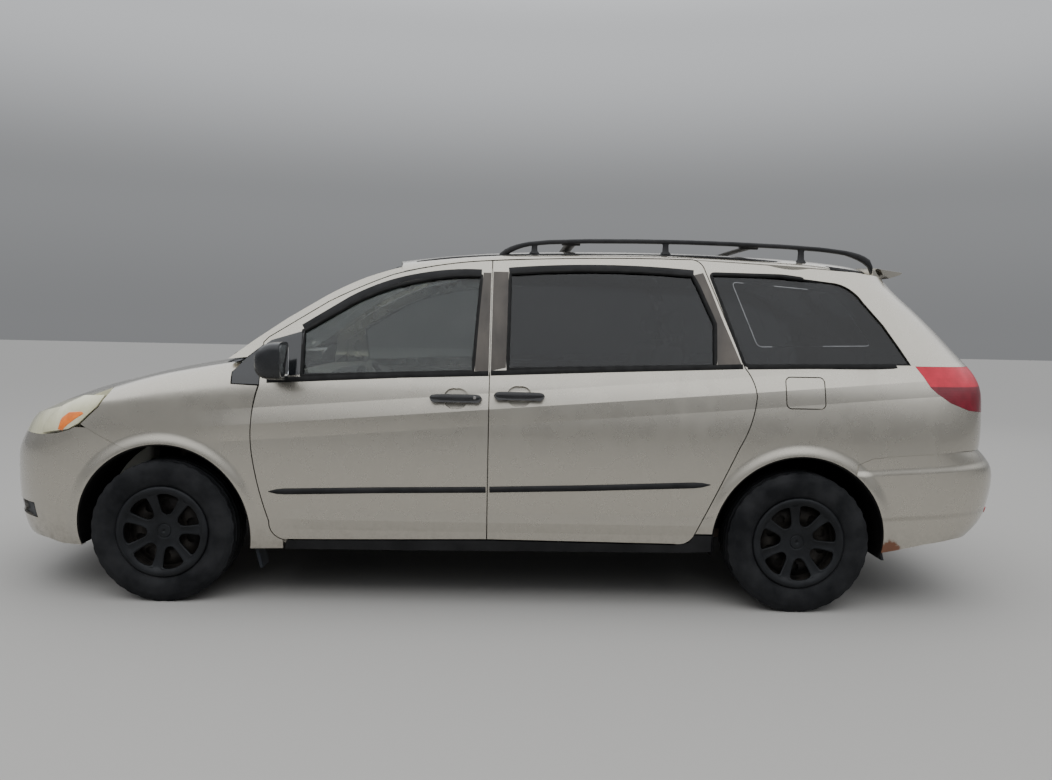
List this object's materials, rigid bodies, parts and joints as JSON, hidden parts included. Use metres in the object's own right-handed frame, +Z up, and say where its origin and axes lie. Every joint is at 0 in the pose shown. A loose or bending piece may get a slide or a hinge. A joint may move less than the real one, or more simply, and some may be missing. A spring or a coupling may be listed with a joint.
{
  "type": "minivan",
  "caption": "Long-wheelbase family minivan with hinged front doors, sliding rear doors, tailgate, hood, roof rack, steered front wheels and spoked wheel covers.",
  "frame": {"origin": "on the ground under the middle of the bounding box", "axes": "+X towards the tail, -Y towards the van's left side, +Z up"},
  "size_m": [5.0825, 2.26, 1.802],
  "materials": {
    "body_paint": "gloss",
    "trim": "satin",
    "glass_dark": "gloss",
    "glass_clear": "gloss",
    "lamp_clear": "gloss",
    "lamp_red": "gloss",
    "steel": "satin",
    "iron": "rough",
    "rubber": "matte",
    "tyre": "matte",
    "interior": "matte",
    "cloth": "matte"
  },
  "bodies": {
    "body": {"sliding_doors": "body_paint", "roof_panel": "body_paint", "side_frame_left": "body_paint", "side_frame_right": "body_paint", "fender_left": "body_paint", "fender_right": "body_paint", "front_bumper": "body_paint", "quarter_panel_left": "body_paint", "quarter_panel_right": "body_paint", "rear_bumper": "body_paint", "floor_pan": "body_paint", "bulkhead": "body_paint", "front_structure": "body_paint", "pillar_trims": "trim", "grille": "trim", "cowl": "trim", "wheel_liners_front": "trim", "wheel_liners_rear": "trim", "sill_covers": "trim", "roof_rack": "trim", "sliding_door_glass": "glass_dark", "quarter_glass": "glass_dark", "windshield": "glass_clear", "headlamps": "lamp_clear", "tail_lamps": "lamp_red", "front_subframe": "steel", "front_struts": "steel", "rear_axle": "steel", "exhaust": "steel", "engine_block": "iron", "mud_flaps": "rubber", "dashboard": "interior", "fuel_tank": "interior", "seats": "cloth"},
    "hood": {"hood": "body_paint"},
    "front_door_left": {"front_door_left": "body_paint", "front_door_glass_left": "glass_clear", "mirror_left": "trim"},
    "front_door_right": {"front_door_right": "body_paint", "front_door_glass_right": "glass_clear", "mirror_right": "trim"},
    "tailgate": {"tailgate": "body_paint", "tailgate_glass": "glass_dark"},
    "fuel_door": {"fuel_door": "body_paint"},
    "knuckle_left": {"knuckle_left": "iron"},
    "knuckle_right": {"knuckle_right": "iron"},
    "wheel_front_left": {"rim_front_left": "steel", "tyre_front_left": "tyre", "wheel_cover_front_left": "trim"},
    "wheel_front_right": {"rim_front_right": "steel", "tyre_front_right": "tyre", "wheel_cover_front_right": "trim"},
    "wheel_rear_left": {"rim_rear_left": "steel", "tyre_rear_left": "tyre", "wheel_cover_rear_left": "trim"},
    "wheel_rear_right": {"rim_rear_right": "steel", "tyre_rear_right": "tyre", "wheel_cover_rear_right": "trim"}
  },
  "joints": [
    {"name": "hood_hinge", "type": "hinge", "parent": "body", "child": "hood", "pos_m": [-1.322, 0, 1.16], "axis": [0, 1, 0], "range_deg": [0, 48]},
    {"name": "front_door_left_hinge", "type": "hinge", "parent": "body", "child": "front_door_left", "pos_m": [-1.1725, -0.967, 0.7], "axis": [0, 0, -1], "range_deg": [0, 65]},
    {"name": "front_door_right_hinge", "type": "hinge", "parent": "body", "child": "front_door_right", "pos_m": [-1.1725, 0.967, 0.7], "axis": [0, 0, 1], "range_deg": [0, 65]},
    {"name": "tailgate_hinge", "type": "hinge", "parent": "body", "child": "tailgate", "pos_m": [1.883, 0, 1.701], "axis": [0, -1, 0], "range_deg": [0, 80]},
    {"name": "fuel_door_hinge", "type": "hinge", "parent": "body", "child": "fuel_door", "pos_m": [1.3495, -0.9434, 1.0585], "axis": [0, 0, -1], "range_deg": [0, 90]},
    {"name": "steer_left", "type": "hinge", "parent": "body", "child": "knuckle_left", "pos_m": [-1.6, -0.735, 0.215], "axis": [0, 0.2019, 0.9794], "range_deg": [-32, 32]},
    {"name": "steer_right", "type": "hinge", "parent": "body", "child": "knuckle_right", "pos_m": [-1.6, 0.735, 0.215], "axis": [0, -0.2019, 0.9794], "range_deg": [-32, 32]},
    {"name": "roll_front_left", "type": "hinge", "parent": "knuckle_left", "child": "wheel_front_left", "pos_m": [-1.6, -0.832, 0.34], "axis": [0, 1, 0], "continuous": true},
    {"name": "roll_front_right", "type": "hinge", "parent": "knuckle_right", "child": "wheel_front_right", "pos_m": [-1.6, 0.832, 0.34], "axis": [0, 1, 0], "continuous": true},
    {"name": "roll_rear_left", "type": "hinge", "parent": "body", "child": "wheel_rear_left", "pos_m": [1.43, -0.8495, 0.34], "axis": [0, 1, 0], "continuous": true},
    {"name": "roll_rear_right", "type": "hinge", "parent": "body", "child": "wheel_rear_right", "pos_m": [1.43, 0.8495, 0.34], "axis": [0, 1, 0], "continuous": true}
  ],
  "couplings": [
    {"joint": "steer_right", "follows": "steer_left", "ratio": 1}
  ]
}
